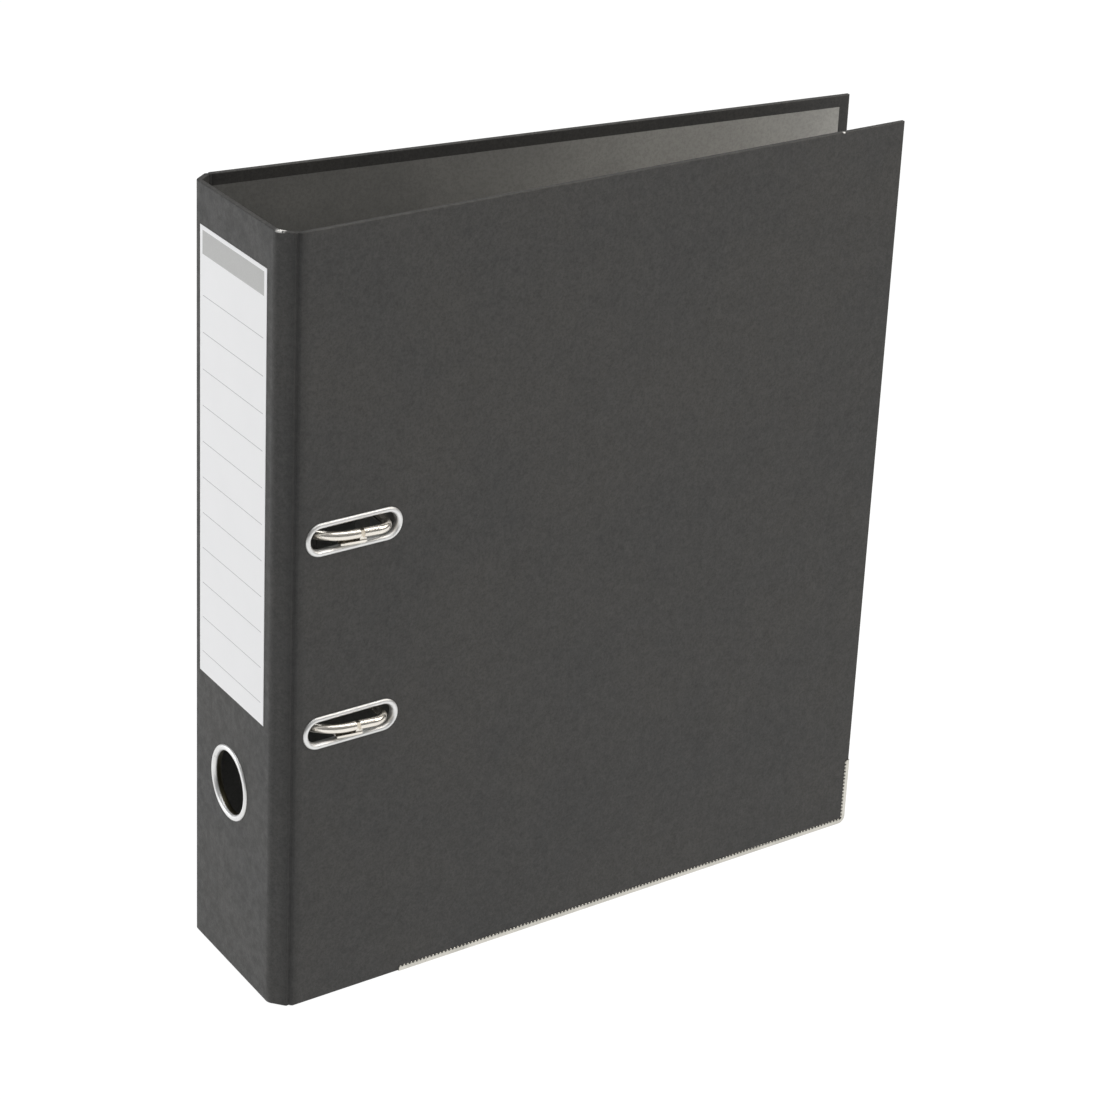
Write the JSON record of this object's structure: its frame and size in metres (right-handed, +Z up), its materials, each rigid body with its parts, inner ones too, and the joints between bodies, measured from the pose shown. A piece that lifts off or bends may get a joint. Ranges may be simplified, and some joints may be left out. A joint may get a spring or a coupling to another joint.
{
  "type": "lever arch file",
  "caption": "Upright lever arch file in charcoal board with a lever ring mechanism, slotted front cover, spine label and thumb ring.",
  "frame": {"origin": "centre of the bounding box at its bottom, on the floor the file stands on", "axes": "+Z up, +X from the spine to the fore edge, +Y from the front cover to the back cover"},
  "size_m": [0.2942, 0.0792, 0.318],
  "materials": {
    "grey_board": "matt",
    "covering_paper": "matt charcoal",
    "lining_paper": "matt grey",
    "label_paper": "smooth white",
    "eyelet_chrome": "polished",
    "protector_nickel": "satin nickel",
    "grip_plastic": "matt black",
    "nickel_wire": "polished nickel",
    "plated_steel": "bright zinc"
  },
  "bodies": {
    "back_cover": {"back_board": "grey_board", "back_covering": "covering_paper", "back_lining": "lining_paper", "back_cover_crease": "covering_paper", "back_cover_crease_lining": "lining_paper", "back_edge_protector": "protector_nickel", "base_plate": "plated_steel", "mechanism_rivets": "nickel_wire", "post_upper": "nickel_wire", "post_lower": "nickel_wire", "wire_saddles": "plated_steel", "lever_bracket": "plated_steel", "lever_pin": "nickel_wire"},
    "back_strip": {"back_strip_board": "grey_board", "back_strip_covering": "covering_paper", "back_strip_lining": "lining_paper"},
    "spine": {"spine_board": "grey_board", "spine_covering": "covering_paper", "spine_lining": "lining_paper", "back_spine_crease": "covering_paper", "back_spine_crease_lining": "lining_paper", "front_spine_crease": "covering_paper", "front_spine_crease_lining": "lining_paper", "spine_label": "label_paper", "thumb_ring": "eyelet_chrome"},
    "front_strip": {"front_strip_board": "grey_board", "front_strip_covering": "covering_paper", "front_strip_lining": "lining_paper"},
    "front_cover": {"front_board": "grey_board", "front_covering": "covering_paper", "front_lining": "lining_paper", "front_cover_crease": "covering_paper", "front_cover_crease_lining": "lining_paper", "front_edge_protector": "protector_nickel", "slot_eyelet_upper": "eyelet_chrome", "slot_eyelet_lower": "eyelet_chrome"},
    "arch_wire": {"arch_wire": "nickel_wire"},
    "lever": {"lever": "plated_steel", "lever_grip": "grip_plastic", "roller_pin": "nickel_wire"},
    "roller": {"roller": "nickel_wire"},
    "compressor": {"compressor_bar": "plated_steel", "catch_pin": "nickel_wire"},
    "catch": {"compressor_catch": "plated_steel"}
  },
  "joints": [
    {"name": "front_cover_fold", "type": "hinge", "parent": "front_strip", "child": "front_cover", "pos_m": [-0.13822, -0.03777, 0.159], "axis": [0, 0, -1], "range_deg": [0, 112], "deforming": ["front_cover_crease", "front_cover_crease_lining"]},
    {"name": "front_spine_fold", "type": "hinge", "parent": "spine", "child": "front_strip", "pos_m": [-0.14392, -0.03212, 0.159], "axis": [0, 0, -1], "range_deg": [0, 90], "deforming": ["front_spine_crease", "front_spine_crease_lining"]},
    {"name": "back_spine_fold", "type": "hinge", "parent": "back_strip", "child": "spine", "pos_m": [-0.14549, 0.03203, 0.159], "axis": [0, 0, -1], "range_deg": [0, 39.5], "deforming": ["back_spine_crease", "back_spine_crease_lining"]},
    {"name": "back_cover_fold", "type": "hinge", "parent": "back_cover", "child": "back_strip", "pos_m": [-0.13955, 0.0375, 0.159], "axis": [0, 0, -1], "range_deg": [0, 39.5], "deforming": ["back_cover_crease", "back_cover_crease_lining"]},
    {"name": "lever_lift", "type": "hinge", "parent": "back_cover", "child": "lever", "pos_m": [-0.11958, 0.019, 0.1274], "axis": [1, 0, 0], "range_deg": [0, 84.5]},
    {"name": "arch_swing", "type": "hinge", "parent": "back_cover", "child": "arch_wire", "pos_m": [-0.13058, 0.0312, 0.1574], "axis": [0, 0, -1], "range_deg": [0, 42.5]},
    {"name": "compressor_slide", "type": "slide", "parent": "back_cover", "child": "compressor", "axis": [0, -1, 0], "range_m": [0, 0.024]},
    {"name": "catch_tilt", "type": "hinge", "parent": "compressor", "child": "catch", "pos_m": [-0.09208, 0.0073, 0.1174], "axis": [0, 0, 1], "range_deg": [0, 8]},
    {"name": "roller_spin", "type": "hinge", "parent": "lever", "child": "roller", "pos_m": [-0.11958, 0.02596, 0.13228], "axis": [1, 0, 0], "continuous": true}
  ],
  "couplings": [
    {"joint": "back_spine_fold", "follows": "front_cover_fold", "ratio": 0.35},
    {"joint": "back_cover_fold", "follows": "front_cover_fold", "ratio": 0.35},
    {"joint": "lever_lift", "follows": "front_cover_fold", "ratio": 0.75},
    {"joint": "arch_swing", "follows": "front_cover_fold", "ratio": 0.375}
  ]
}
